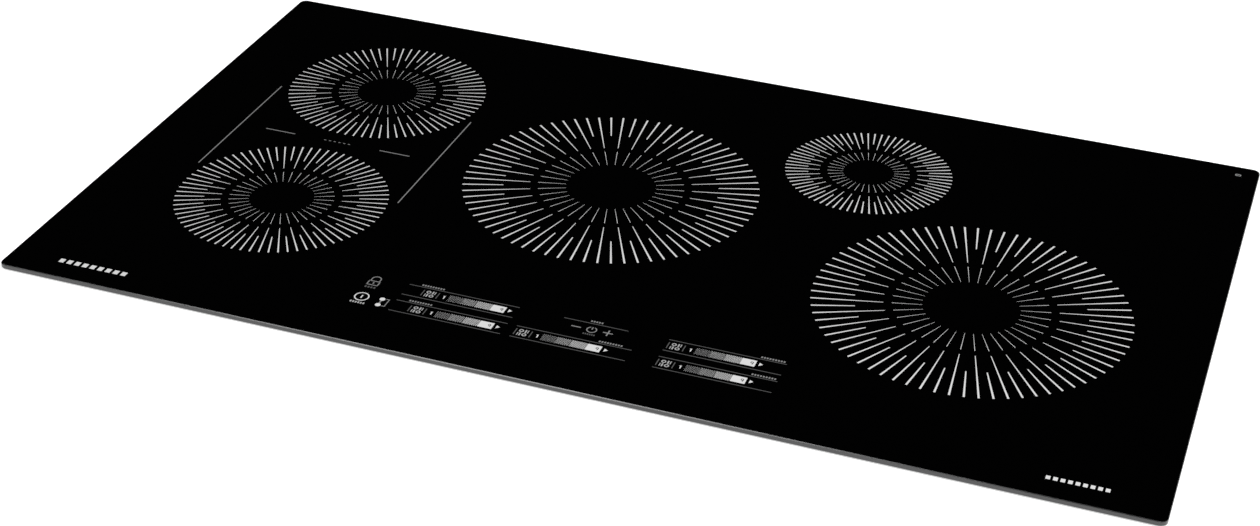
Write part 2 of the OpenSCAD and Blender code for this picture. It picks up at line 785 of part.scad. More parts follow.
module board_screws() {
    color("silver") for (p = all_standoffs) translate([p[0], p[1], board_top_z]) pan_screw(board_t + 5);
}

module terminal_block() {
    poles = 4;
    pitch = terminal_w / poles;
    color("ivory") translate([terminal_x0, terminal_y, floor_z]) difference() {
        cube([terminal_w, terminal_d, terminal_h]);
        for (i = [0 : poles - 1]) {
            translate([pitch * i + 2, 2, terminal_h - 8]) cube([pitch - 4, terminal_d - 12, 9]);
            translate([pitch * (i + 0.5), -1, terminal_h / 2 - 2]) rotate([-90, 0, 0])
                cylinder(r = 3.2, h = 10);
        }
    }
}

module conduit_connector() {
    flange_t = 4;
    color("silver") translate([inlet_x, housing_d / 2, inlet_z]) rotate([-90, 0, 0]) difference() {
        union() {
            translate([0, 0, -sheet_t - inlet_in_l])
                cylinder(r = inlet_thread_r, h = sheet_t + inlet_in_l + inlet_out_l);
            cylinder(r = inlet_thread_r + 6, h = flange_t);
            translate([0, 0, -sheet_t - 5]) cylinder(r = inlet_thread_r + 5, h = 5, $fn = 6);
        }
        translate([0, 0, -sheet_t - inlet_in_l - 1])
            cylinder(r = inlet_bore_r, h = sheet_t + inlet_in_l + inlet_out_l + 2);
    }
}

module mains_wires() {
    wires = 3;
    high_z = board_top_z + 14;
    end_x = filter_x0 + filter_w - 14;
    color("black") for (i = [0 : wires - 1]) {
        x = terminal_x0 + terminal_w / 4 * (i + 0.5);
        z = floor_z + terminal_h / 2 - 2;
        y = terminal_y - 8 - 8 * i;
        wire([[x, terminal_y, z], [x, y, z], [x, y, high_z], [end_x, y, high_z], [end_x, y, board_top_z]]);
    }
}

// ---- Touch control ----

module touch_carrier() {
    ear_w = 16;
    ear_y = -inner_d / 2 + 1;
    ear_z = touch_z - 1;
    post_foot = 3;
    carrier_z = touch_z - control_h + control_wall;
    inside = [control_x1 - control_x0 - 2 * control_wall, control_d - 2 * control_wall];
    color("black") {
        difference() {
            union() {
                translate([control_x0, control_y0, carrier_z])
                    cube([control_x1 - control_x0, control_d, control_h]);
                for (x = [control_x0 + 30, 0, control_x1 - 30 - ear_w])
                    translate([x, ear_y, ear_z])
                        cube([ear_w, control_y0 + control_wall - ear_y, flange_z - ear_z]);
            }
            translate([control_x0 + control_wall, control_y0 + control_wall, carrier_z + control_wall])
                cube([inside[0], inside[1], control_h + 10]);
            translate([ribbon_x - ribbon_w / 2 - 1, ribbon_y - 2, carrier_z - 1])
                cube([ribbon_w + 2, 4, control_h]);
        }
        for (x = [control_x0 + 40, 20, control_x1 - 40]) for (y = [control_y0 + 12, control_y1 - 12])
            translate([x, y, carrier_z + control_wall - eps])
                cylinder(r = post_foot, h = touch_z - carrier_z - control_wall + eps);
    }
}

module touch_board() {
    edge = control_wall + solder_gap;
    color("darkgreen") translate([control_x0 + edge, control_y0 + edge, touch_z])
        cube([control_x1 - control_x0 - 2 * edge, control_d - 2 * edge, board_t]);
}

module touch_pads() {
    pads = 5;
    pitch = 11;
    color("gray") translate([0, 0, touch_z + board_t]) {
        for (x = [slider_x[0], slider_x[2]]) for (y = slider_rows) for (i = [0 : pads - 1])
            translate([x + (i - (pads - 1) / 2) * pitch, y, 0]) cylinder(r = pad_r, h = pad_h);
        for (i = [0 : pads - 1])
            translate([slider_x[1] + (i - (pads - 1) / 2) * pitch, slider_rows[1], 0])
                cylinder(r = pad_r, h = pad_h);
        for (i = [-1 : 1]) translate([timer_x + timer_pitch * i, slider_rows[0], 0])
            cylinder(r = pad_r, h = pad_h);
        for (y = slider_rows) translate([key_x, y, 0]) cylinder(r = pad_r, h = pad_h);
    }
}

module display_modules() {
    color("dimgray") translate([0, 0, touch_z + board_t]) {
        for (x = [slider_x[0], slider_x[2]]) for (y = slider_rows)
            translate([x + display_dx, y - display_d / 2, 0]) cube([display_w, display_d, pad_h - 1]);
        translate([slider_x[1] + display_dx, slider_rows[1] - display_d / 2, 0])
            cube([display_w, display_d, pad_h - 1]);
    }
}

// Flat cable from the touch board down and back to the left power board
module control_ribbon() {
    low = board_top_z + 6;
    plug_x = board_x0(left_fan_x) + board_w - 12;
    turn_y = board_y1 - board_d + 28;
    color("lightgray") {
        translate([ribbon_x - ribbon_w / 2, ribbon_y - ribbon_t / 2, low])
            cube([ribbon_w, ribbon_t, touch_z - low]);
        translate([ribbon_x - ribbon_w / 2, ribbon_y - ribbon_t / 2, low])
            cube([ribbon_w, turn_y - ribbon_y, ribbon_t]);
        translate([plug_x, turn_y - ribbon_w, low])
            cube([ribbon_x + ribbon_w / 2 - plug_x, ribbon_w, ribbon_t]);
        translate([plug_x, turn_y - ribbon_w, board_top_z])
            cube([5, ribbon_w, low + ribbon_t - board_top_z]);
    }
}

// ---- Wiring ----

// A pair of leads leaves each coil between two ferrite bars
lead_pitch = 10;
lug_w = 6;
lug_h = 3;
lead_x = board_x0(right_fan_x) + board_w - 24;
left_rear_drops = [for (i = [0, 1]) [left_rear[0], left_rear[1] - 62 + lead_pitch * i]];
left_front_drops = [for (i = [0, 1]) [left_front[0], left_front[1] + 40 + lead_pitch * i]];
left_drops = concat(left_rear_drops, left_front_drops);
right_front_drops = [for (i = [-0.5, 0.5]) [lead_x - 10, right_front[1] + lead_pitch * i]];
right_rear_drops = [for (i = [0, 1]) [right_rear[0], right_rear[1] - 50 + lead_pitch * i]];
centre_drops = [for (i = [0, 1]) [centre_x + 60, centre_y - 60 + lead_pitch * i]];

// A soldered wire end with its lug on the board
module lug(x, y) {
    translate([x - lug_w / 2, y - lug_w / 2, board_top_z]) cube([lug_w, lug_w, lug_h]);
}

module left_coil_leads() {
    color("red") for (p = left_drops) {
        wire([[p[0], p[1], former_z], [p[0], p[1], board_top_z + 1]]);
        lug(p[0], p[1]);
    }
}

module right_coil_leads() {
    runs = concat([for (i = [0, 1]) [right_rear_drops[i], board_y1 - 36 + lead_pitch * i]],
        [for (i = [0, 1]) [centre_drops[i], board_y1 - 100 + lead_pitch * i]]);
    color("red") {
        for (p = right_front_drops) {
            wire([[p[0], p[1], former_z], [p[0], p[1], board_top_z + 1]]);
            lug(p[0], p[1]);
        }
        for (run = runs) {
            wire([[run[0][0], run[0][1], former_z], [run[0][0], run[0][1], wire_z],
                [lead_x, run[1], wire_z], [lead_x, run[1], board_top_z + 1]]);
            lug(lead_x, run[1]);
        }
    }
}

// ---- Nodes ----

glass_top();
worktop_gasket();
frame_adhesive();
glass_frame();
base_tray();
end_panel(-1);  // left_end_panel
end_panel(1);  // right_end_panel
intake_guards();
exhaust_grilles();
clamp_brackets();
clamp_screw(-1, -1);  // left_front_clamp_screw
clamp_screw(-1, 1);  // left_rear_clamp_screw
clamp_screw(1, -1);  // right_front_clamp_screw
clamp_screw(1, 1);  // right_rear_clamp_screw
housing_screws();
coil_plate(left_zones, left_posts, left_drops) plate_outline_left();  // left_coil_plate
coil_plate(right_zones, right_posts, concat(right_front_drops, right_rear_drops, centre_drops))  // right_coil_plate
        plate_outline_right();
plate_springs(left_posts);  // left_plate_springs
plate_springs(right_posts);  // right_plate_springs
spring_posts();
winding(left_rear);  // left_rear_winding
winding(left_front);  // left_front_winding
winding(centre);  // centre_winding
winding(right_rear);  // right_rear_winding
winding(right_front);  // right_front_winding
former(left_rear);  // left_rear_former
former(left_front);  // left_front_former
former(centre);  // centre_former
former(right_rear);  // right_rear_former
former(right_front);  // right_front_former
insulation_discs(left_zones);  // left_insulation_discs
insulation_discs(right_zones);  // right_insulation_discs
ferrites(left_zones);  // left_ferrites
ferrites(right_zones);  // right_ferrites
sensors(left_zones);  // left_sensors
sensors(right_zones);  // right_sensors
fan_scroll(left_fan_x);  // left_fan_scroll
fan_scroll(right_fan_x);  // right_fan_scroll
fan_impeller(left_fan_x);  // left_fan_impeller
fan_impeller(right_fan_x);  // right_fan_impeller
power_board(left_fan_x);  // left_power_board
power_board(right_fan_x);  // right_power_board
filter_board();
heat_sink(left_fan_x);  // left_heat_sink
heat_sink(right_fan_x);  // right_heat_sink
power_transistors();
capacitors();
filter_chokes();
board_standoffs();
board_screws();
terminal_block();
conduit_connector();
touch_carrier();
touch_board();
touch_pads();
display_modules();
control_ribbon();
left_coil_leads();
right_coil_leads();
mains_wires();
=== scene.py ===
"""Looks, printed pattern and studio for a built-in induction cooktop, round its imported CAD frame.

Lengths are in metres in the CAD's frame: +X right, -Y front, +Z up, and z = 0 is the worktop plane.
"""

import json
import math

import bmesh
import bpy
from mathutils import Matrix, Vector


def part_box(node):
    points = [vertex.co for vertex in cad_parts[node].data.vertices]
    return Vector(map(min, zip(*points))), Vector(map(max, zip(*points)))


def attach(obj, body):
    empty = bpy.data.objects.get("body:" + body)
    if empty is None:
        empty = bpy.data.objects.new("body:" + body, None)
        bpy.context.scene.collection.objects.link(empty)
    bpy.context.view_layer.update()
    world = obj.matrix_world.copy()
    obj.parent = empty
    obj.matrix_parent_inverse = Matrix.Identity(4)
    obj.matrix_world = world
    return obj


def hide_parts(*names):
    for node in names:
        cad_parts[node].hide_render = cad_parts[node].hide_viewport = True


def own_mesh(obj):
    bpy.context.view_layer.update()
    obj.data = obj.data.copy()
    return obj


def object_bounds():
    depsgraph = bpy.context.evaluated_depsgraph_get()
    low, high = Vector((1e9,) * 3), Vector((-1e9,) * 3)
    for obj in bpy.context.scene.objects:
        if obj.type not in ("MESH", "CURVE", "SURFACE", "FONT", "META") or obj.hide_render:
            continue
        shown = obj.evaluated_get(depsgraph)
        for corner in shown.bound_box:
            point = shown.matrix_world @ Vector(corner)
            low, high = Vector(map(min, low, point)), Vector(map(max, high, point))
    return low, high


MM = 0.001

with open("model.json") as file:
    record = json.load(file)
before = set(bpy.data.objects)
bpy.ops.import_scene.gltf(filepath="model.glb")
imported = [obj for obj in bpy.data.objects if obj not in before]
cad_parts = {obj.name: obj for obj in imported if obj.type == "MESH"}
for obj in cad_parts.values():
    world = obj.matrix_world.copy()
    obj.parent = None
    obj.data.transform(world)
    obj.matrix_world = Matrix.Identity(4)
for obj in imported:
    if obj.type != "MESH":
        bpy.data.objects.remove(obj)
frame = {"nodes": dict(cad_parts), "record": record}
cad_low, cad_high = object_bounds()
nodes = frame["nodes"]
glass_low, glass_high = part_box("glass_top")
glass_z = glass_high.z

# ---- Camera ----

CAMERA_AZIMUTH = 18.90  # degrees to the right of the front
CAMERA_ELEVATION = 31.14
CAMERA_ROLL = 1.52
CAMERA_DISTANCE = 1.8935
CAMERA_LENS = 66.83
CAMERA_AIM = (4.1 * MM, -82.2 * MM)  # on the glass's top face


def make_camera():
    data = bpy.data.cameras.new("camera")
    data.sensor_width = 36.0
    data.lens = CAMERA_LENS
    data.clip_start = 0.05
    data.clip_end = 60.0
    camera = bpy.data.objects.new("camera", data)
    bpy.context.scene.collection.objects.link(camera)
    azimuth = math.radians(CAMERA_AZIMUTH)
    elevation = math.radians(CAMERA_ELEVATION)
    back = Vector(
        (
            math.sin(azimuth) * math.cos(elevation),
            -math.cos(azimuth) * math.cos(elevation),
            math.sin(elevation),
        )
    )
    aim = Vector((*CAMERA_AIM, glass_z))
    level = (-back).to_track_quat("-Z", "Y").to_matrix()
    roll = Matrix.Rotation(math.radians(CAMERA_ROLL), 3, "Z")
    camera.matrix_world = Matrix.Translation(aim + back * CAMERA_DISTANCE) @ (level @ roll).to_4x4()
    bpy.context.scene.camera = camera


make_camera()

# ---- Mesh helpers ----


def link(name, data):
    made = bpy.data.objects.new(name, data)
    bpy.context.scene.collection.objects.link(made)
    return made


def build(name, bm, *materials):
    """Turns a bmesh into a linked object with its materials."""
    bm.normal_update()
    data = bpy.data.meshes.new(name)
    bm.to_mesh(data)
    bm.free()
    for material in materials:
        data.materials.append(material)
    return link(name, data)


def around(x, y, radius, angle):
    """The point at an angle round a centre."""
    return (x + radius * math.cos(angle), y + radius * math.sin(angle))


def loft(bm, rings, whole=False):
    """Joins rings of vertices into one closed skin. A whole run closes on itself and needs no caps."""
    following = rings[1:] + (rings[:1] if whole else [])
    for ring, after in zip(rings, following):
        for k in range(len(ring)):
            n = (k + 1) % len(ring)
            bm.faces.new((ring[k], ring[n], after[n], after[k]))
    if not whole:
        bm.faces.new(rings[0][::-1])
        bm.faces.new(rings[-1])


# ---- Material helpers ----


class Shader:
    """A Principled material and short calls for the nodes that vary it."""

    def __init__(self, name, color, roughness, metallic=0.0, specular=0.5):
        self.mat = bpy.data.materials.new(name)
        self.mat.use_nodes = True
        self.tree = self.mat.node_tree
        self.bsdf = self.tree.nodes["Principled BSDF"]
        self.bsdf.inputs["Base Color"].default_value = (*color, 1.0)
        self.bsdf.inputs["Roughness"].default_value = roughness
        self.bsdf.inputs["Metallic"].default_value = metallic
        self.bsdf.inputs["Specular IOR Level"].default_value = specular
        self.mat.diffuse_color = (*color, 1.0)
        self.color = color
        self.place = self.tree.nodes.new("ShaderNodeTexCoord").outputs["Object"]

    def node(self, kind, **inputs):
        made = self.tree.nodes.new(kind)
        for name, value in inputs.items():
            self.feed(made.inputs[name.replace("_", " ")], value)
        return made

    def feed(self, socket, value):
        if isinstance(value, bpy.types.NodeSocket):
            self.tree.links.new(value, socket)
        else:
            socket.default_value = value

    def stretched(self, x, y, z):
        """Object coordinates scaled per axis, for grain that runs one way."""
        made = self.node("ShaderNodeMapping", Vector=self.place, Scale=(x, y, z))
        return made.outputs["Vector"]

    def noise(self, scale, detail=3.0, vector=None):
        made = self.node("ShaderNodeTexNoise", Vector=vector or self.place, Scale=scale, Detail=detail)
        return made.outputs["Fac"]

    def cells(self, scale, output="Color"):
        made = self.node("ShaderNodeTexVoronoi", Vector=self.place, Scale=scale)
        return made.outputs[output]

    def ramp(self, value, low, high, start=0.35, end=0.65):
        """Maps a 0 to 1 texture to the range low to high."""
        made = self.node(
            "ShaderNodeMapRange", Value=value, From_Min=start, From_Max=end, To_Min=low, To_Max=high
        )
        return made.outputs["Result"]

    def math(self, operation, a, b=0.0):
        made = self.tree.nodes.new("ShaderNodeMath")
        made.operation = operation
        self.feed(made.inputs[0], a)
        self.feed(made.inputs[1], b)
        return made.outputs[0]

    def mix(self, factor, low, high):
        made = self.tree.nodes.new("ShaderNodeMix")
        made.data_type = "RGBA"
        self.feed(made.inputs[0], factor)
        for socket, value in ((made.inputs[6], low), (made.inputs[7], high)):
            self.feed(socket, (*value, 1.0) if isinstance(value, (tuple, list)) else value)
        return made.outputs[2]

    def tint(self, factor, amount):
        """Base colour that wanders by the given share round the material's colour."""
        low = tuple(c * (1 - amount) for c in self.color)
        high = tuple(min(1.0, c * (1 + amount)) for c in self.color)
        self.feed(self.bsdf.inputs["Base Color"], self.mix(factor, low, high))

    def rough(self, value):
        self.feed(self.bsdf.inputs["Roughness"], value)

    def bump(self, height, distance, strength=1.0):
        made = self.node("ShaderNodeBump", Height=height, Distance=distance, Strength=strength)
        self.feed(self.bsdf.inputs["Normal"], made.outputs["Normal"])


# ---- Materials ----


def black_glass():
    """Polished black glass-ceramic, with ground edges where the surface isn't level."""
    made = Shader("black_glass", (0.0002, 0.0002, 0.00022), 0.04, specular=0.9)
    smudge = made.noise(9.0, 4.0)
    polished = made.ramp(smudge, 0.02, 0.05)
    geometry = made.tree.nodes.new("ShaderNodeNewGeometry")
    split = made.node("ShaderNodeSeparateXYZ", Vector=geometry.outputs["True Normal"])
    level = made.math("ABSOLUTE", split.outputs["Z"])
    ground = made.ramp(level, 1.0, 0.0, 0.9, 0.98)
    grain = made.noise(1800.0, 2.0)
    made.rough(made.math("ADD", polished, made.math("MULTIPLY", ground, 0.2)))
    made.feed(made.bsdf.inputs["Base Color"], made.mix(ground, made.color, (0.012, 0.012, 0.013)))
    made.bump(made.math("MULTIPLY", grain, ground), 0.00002, 0.4)
    return made.mat


def printed_enamel(name, brightness):
    """Ceramic ink fired into the glass: slightly uneven and fine-grained."""
    made = Shader(name, (brightness,) * 3, 0.45, specular=0.3)
    grain = made.noise(1400.0, 2.0)
    made.tint(grain, 0.05)
    made.rough(made.ramp(grain, 0.4, 0.55))
    made.bump(grain, 0.000004, 0.4)
    return made.mat


def moulded(name, color, roughness, grain=900.0, depth=0.00001, specular=0.4):
    """Moulded plastic or ceramic with a fine eroded texture."""
    made = Shader(name, color, roughness, specular=specular)
    fine = made.noise(grain, 3.0)
    broad = made.noise(30.0, 2.0)
    made.tint(broad, 0.06)
    made.rough(made.ramp(fine, roughness - 0.08, roughness + 0.08))
    made.bump(fine, depth, 0.6)
    return made.mat


def foam(name, color):
    """Closed-cell foam: matt, with small pits."""
    made = Shader(name, color, 0.95, specular=0.15)
    pits = made.cells(900.0, "Distance")
    made.tint(made.noise(120.0), 0.18)
    made.bump(pits, 0.00008, 0.7)
    return made.mat


def galvanised_sheet():
    """Zinc-coated sheet with a faint crystal spangle."""
    made = Shader("galvanised_sheet", (0.6, 0.61, 0.62), 0.4, metallic=1.0)
    spangle = made.cells(70.0, "Color")
    fine = made.cells(260.0, "Color")
    made.tint(made.mix(0.35, spangle, fine), 0.1)
    made.rough(made.ramp(spangle, 0.3, 0.46, 0.0, 1.0))
    made.bump(made.noise(400.0, 4.0), 0.000012, 0.4)
    return made.mat


def plated(name, color, roughness, scale=500.0):
    """Bright or satin zinc plating with slight mottling."""
    made = Shader(name, color, roughness, metallic=1.0)
    mottle = made.noise(scale, 4.0)
    made.tint(made.noise(scale / 6), 0.08)
    made.rough(made.ramp(mottle, roughness - 0.08, roughness + 0.1))
    made.bump(mottle, 0.000006, 0.5)
    return made.mat


def brushed(name, color, roughness, along=(8.0, 900.0, 900.0)):
    """Metal with rolling lines that run along the first axis."""
    made = Shader(name, color, roughness, metallic=1.0)
    lines = made.noise(1.0, 3.0, made.stretched(*along))
    made.tint(lines, 0.07)
    made.rough(made.ramp(lines, roughness - 0.07, roughness + 0.12))
    made.bump(lines, 0.000008, 0.5)
    return made.mat


def copper_winding():
    """Varnished strands, twisted together in each turn."""
    made = Shader("copper_winding", (0.72, 0.3, 0.13), 0.32, metallic=1.0)
    strands = made.noise(1.0, 2.0, made.stretched(1600.0, 1600.0, 300.0))
    made.tint(strands, 0.3)
    made.rough(made.ramp(strands, 0.22, 0.42))
    made.bump(strands, 0.0001, 0.8)
    return made.mat


def ceramic_fibre():
    made = Shader("ceramic_fibre", (0.86, 0.84, 0.8), 0.95, specular=0.1)
    fibres = made.noise(1.0, 6.0, made.stretched(500.0, 140.0, 800.0))
    made.tint(fibres, 0.12)
    made.bump(fibres, 0.0002, 0.7)
    return made.mat


def circuit_board():
    """Green solder mask over copper areas, with a grid of vias."""
    made = Shader("circuit_board", (0.02, 0.12, 0.05), 0.35, specular=0.5)
    copper = made.cells(55.0, "Color")
    vias = made.ramp(made.cells(260.0, "Distance"), 1.0, 0.0, 0.08, 0.16)
    areas = made.mix(made.ramp(copper, 0.0, 1.0, 0.45, 0.55), (0.014, 0.085, 0.035), (0.03, 0.17, 0.07))
    made.feed(made.bsdf.inputs["Base Color"], made.mix(vias, areas, (0.55, 0.5, 0.38)))
    made.rough(made.ramp(made.noise(90.0), 0.28, 0.4))
    made.bump(copper, 0.00003, 0.5)
    return made.mat


def wound(name, color):
    """Enamelled wire wound round a ring: fine ribs."""
    made = Shader(name, color, 0.25, metallic=0.6)
    ribs = made.noise(1.0, 1.0, made.stretched(1400.0, 1400.0, 60.0))
    made.tint(ribs, 0.25)
    made.rough(made.ramp(ribs, 0.18, 0.34))
    made.bump(ribs, 0.00015, 0.7)
    return made.mat


def ribbon_cable():
    """Grey flat cable with a rib for each core."""
    made = Shader("ribbon_cable", (0.42, 0.42, 0.44), 0.5, specular=0.4)
    cores = made.noise(1.0, 0.0, made.stretched(1500.0, 20.0, 20.0))
    made.tint(cores, 0.2)
    made.rough(made.ramp(cores, 0.42, 0.58))
    made.bump(cores, 0.0001, 0.6)
    return made.mat


def braided(name, color):
    """Glass-fibre sleeve with a fine braid."""
    made = Shader(name, color, 0.6, specular=0.3)
    braid = made.cells(1300.0, "Distance")
    made.tint(braid, 0.3)
    made.rough(made.ramp(braid, 0.5, 0.7, 0.1, 0.6))
    made.bump(braid, 0.0001, 0.6)
    return made.mat


def finish_cad_nodes():
    """Gives every CAD node the material of its slot in the record."""
    finishes = {
        "black_glass": black_glass(),
        "foam_seal": foam("foam_seal", (0.022, 0.022, 0.023)),
        "silicone": moulded("silicone", (0.015, 0.015, 0.015), 0.5, 300.0, 0.00003),
        "galvanised_sheet": galvanised_sheet(),
        "plated_grille": plated("plated_grille", (0.5, 0.51, 0.52), 0.36),
        "zinc_fasteners": plated("zinc_fasteners", (0.66, 0.66, 0.64), 0.26),
        "aluminium_plate": brushed("aluminium_plate", (0.76, 0.76, 0.77), 0.34),
        "spring_steel": brushed("spring_steel", (0.5, 0.5, 0.51), 0.25, (700.0, 700.0, 700.0)),
        "white_plastic": moulded("white_plastic", (0.78, 0.78, 0.75), 0.5),
        "copper_winding": copper_winding(),
        "coil_former": moulded("coil_former", (0.62, 0.57, 0.45), 0.6),
        "ceramic_fibre": ceramic_fibre(),
        "ferrite": moulded("ferrite", (0.035, 0.035, 0.038), 0.55, 1500.0, 0.00003),
        "sensor_ceramic": moulded("sensor_ceramic", (0.8, 0.78, 0.73), 0.45, 1500.0),
        "black_plastic": moulded("black_plastic", (0.018, 0.018, 0.019), 0.48),
        "circuit_board": circuit_board(),
        "capacitor_film": moulded("capacitor_film", (0.6, 0.36, 0.04), 0.3, 60.0),
        "choke_winding": wound("choke_winding", (0.62, 0.24, 0.06)),
        "touch_foam": foam("touch_foam", (0.06, 0.06, 0.06)),
        "ribbon_cable": ribbon_cable(),
        "lead_insulation": braided("lead_insulation", (0.5, 0.03, 0.02)),
        "mains_insulation": moulded("mains_insulation", (0.02, 0.02, 0.02), 0.42),
    }
    for part in frame["record"]["subparts"]:
        materials = nodes[part["node"]].data.materials
        materials.clear()
        materials.append(finishes[part["material_slot"]])
    return finishes


# ---- Studio ----

BOARD_FRONT, BOARD_RIGHT = 0.33, 0.12  # how far the worktop board reaches past the glass
BOARD_LEFT, BOARD_REAR = 0.015, 0.015
CUT_GAP = 4 * MM  # between the cooktop's frame and the cut-out
FLOOR_HALF = 6.0
NEAR_GLOW = 0.5
NEAR_END, FAR_START = 0.7, 1.5  # distances between which the floor's glow rises
WORLD_SHINE = 0.003  # what the white world sheds on the object


def pale_stage(name, brightness, glow):
    """Matt pale surface. Its faint glow keeps the ground pure white where the lamps fade."""
    made = Shader(name, (brightness,) * 3, 0.6, specular=0.2)
    made.tint(made.noise(6.0), 0.01)
    made.bsdf.inputs["Emission Color"].default_value = (1.0, 1.0, 1.0, 1.0)
    made.feed(made.bsdf.inputs["Emission Strength"], glow)
    return made


def pale_floor():
    """The floor glows more where it is far from the object, so that it meets the white world."""
    made = pale_stage("pale_floor", 0.8, NEAR_GLOW)
    distance = made.node("ShaderNodeVectorMath", Vector=made.place)
    distance.operation = "LENGTH"
    made.feed(
        made.bsdf.inputs["Emission Strength"],
        made.ramp(distance.outputs["Value"], NEAR_GLOW, 1.0, NEAR_END, FAR_START),
    )
    return made.mat


def make_stage():
    """A pale worktop board with the cooktop's cut-out, on a pale floor."""
    frame_low, frame_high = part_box("glass_frame")
    thick = -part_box("left_front_clamp_screw")[1].z
    outer = (
        glass_low.x - BOARD_LEFT,
        glass_low.y - BOARD_FRONT,
        glass_high.x + BOARD_RIGHT,
        glass_high.y + BOARD_REAR,
    )
    inner = (
        frame_low.x - CUT_GAP,
        frame_low.y - CUT_GAP,
        frame_high.x + CUT_GAP,
        frame_high.y + CUT_GAP,
    )
    bm = bmesh.new()
    rings = []
    for z in (0.0, -thick):
        for x0, y0, x1, y1 in (outer, inner):
            rings.append([bm.verts.new((x, y, z)) for x, y in ((x0, y0), (x1, y0), (x1, y1), (x0, y1))])
    top_out, top_in, low_out, low_in = rings
    for k in range(4):
        n = (k + 1) % 4
        bm.faces.new((top_out[k], top_out[n], top_in[n], top_in[k]))
        bm.faces.new((low_in[k], low_in[n], low_out[n], low_out[k]))
        bm.faces.new((low_out[k], low_out[n], top_out[n], top_out[k]))
        bm.faces.new((top_in[k], top_in[n], low_in[n], low_in[k]))
    # The board's top glows so that it stays pure white, and its sides take a darker copy of the same
    # laminate without the glow: painted shade on the board's edges.
    top = pale_stage("board_laminate_glowing", 0.8, 0.6).mat
    edge = pale_stage("board_edge", 0.62, 0.0).mat
    board = build("worktop_board", bm, top, edge)
    for face in board.data.polygons:
        face.material_index = 0 if face.normal.z > 0.5 else 1
    bm = bmesh.new()
    bmesh.ops.create_grid(bm, x_segments=1, y_segments=1, size=FLOOR_HALF)
    bmesh.ops.translate(bm, vec=(0, 0, cad_low.z), verts=bm.verts)
    build("floor", bm, pale_floor())


def softbox(name, place, aim, width, height, power):
    data = bpy.data.lights.new(name, "AREA")
    data.shape = "RECTANGLE"
    data.size = width
    data.size_y = height
    data.energy = power
    lamp = link(name, data)
    lamp.location = place
    lamp.rotation_mode = "QUATERNION"
    lamp.rotation_quaternion = (Vector(aim) - Vector(place)).to_track_quat("-Z", "Y")


def background(tree, strength):
    made = tree.nodes.new("ShaderNodeBackground")
    made.inputs["Color"].default_value = (1, 1, 1, 1)
    made.inputs["Strength"].default_value = strength
    return made.outputs[0]


def make_world():
    """White to the camera and dim to everything else, so that the black glass stays black."""
    world = bpy.data.worlds.new("studio")
    world.use_nodes = True
    bpy.context.scene.world = world
    tree = world.node_tree
    tree.nodes.clear()
    rays = tree.nodes.new("ShaderNodeLightPath")
    mix = tree.nodes.new("ShaderNodeMixShader")
    out = tree.nodes.new("ShaderNodeOutputWorld")
    tree.links.new(rays.outputs["Is Camera Ray"], mix.inputs[0])
    tree.links.new(background(tree, WORLD_SHINE), mix.inputs[1])
    tree.links.new(background(tree, 1.0), mix.inputs[2])
    tree.links.new(mix.outputs[0], out.inputs["Surface"])


def make_lights():
    softbox("front_softbox", (-1.2, -2.2, 3.0), (0, -0.3, 0), 1.5, 1.2, 34)
    softbox("right_softbox", (1.2, -0.6, 3.0), (0, 0, 0), 2.2, 1.2, 92)
    softbox("left_softbox", (-3.0, -0.8, 2.2), (0, 0, 0), 1.4, 1.4, 20)


bpy.context.scene.view_settings.view_transform = "Standard"
make_world()
make_lights()
make_stage()

# ---- Printed pattern ----

PRINT_RISE = 0.03 * MM  # above the glass
PRINT_SINK = 0.02 * MM  # into the glass


class Ink:
    """A sheet of thin printed shapes, each closed. Places and sizes are in millimetres."""

    def __init__(self, rise=PRINT_RISE, origin=(0.0, 0.0)):
        self.bm = bmesh.new()
        self.low = glass_z - PRINT_SINK
        self.top = glass_z + rise
        self.origin = origin

    def corner(self, place, z):
        x, y = place[0] + self.origin[0], place[1] + self.origin[1]
        return self.bm.verts.new((x * MM, y * MM, z))

    def patch(self, points):
        """A filled outline, given anticlockwise."""
        loft(self.bm, [[self.corner(place, z) for place in points] for z in (self.low, self.top)])

    def box(self, x, y, width, height):
        left, right = x - width / 2, x + width / 2
        front, rear = y - height / 2, y + height / 2
        self.patch([(left, front), (right, front), (right, rear), (left, rear)])

    def line(self, start, end, width):
        a, b = Vector(start), Vector(end)
        run = b - a
        side = Vector((-run.y, run.x)).normalized() * width / 2
        self.patch([a - side, b - side, b + side, a + side])

    def arc(self, centre, radius, width, start=0.0, end=360.0, steps=40):
        """A round stroke as one closed band."""
        whole = end - start >= 360.0
        sections = []
        for k in range(steps if whole else steps + 1):
            angle = math.radians(start + (end - start) * k / steps)
            inner = around(*centre, radius - width / 2, angle)
            outer = around(*centre, radius + width / 2, angle)
            corners = ((inner, self.top), (outer, self.top), (outer, self.low), (inner, self.low))
            sections.append([self.corner(place, z) for place, z in corners])
        loft(self.bm, sections, whole)

    def disc(self, centre, radius, steps=24):
        self.patch([around(*centre, radius, 2 * math.pi * k / steps) for k in range(steps)])

    def finish(self, name, material):
        made = build(name, self.bm, material)
        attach(made, "housing")


WINDING_MARGIN = 8.0  # from a winding's rim to its zone's rim
STROKES = 72
SHORT_START = 0.725  # of the zone's radius
RING_START, RING_END = 0.305, 0.493  # the inner ring of strokes
RING_GAP = 6.8  # from the inner ring to the long strokes
SMALL_STROKE, LARGE_STROKE = 1.32, 1.6  # widths at the rim
LARGE_RADIUS = 100.0  # zones above it have the wider strokes
TAPER = 1.7  # a stroke's width follows this power of the radius


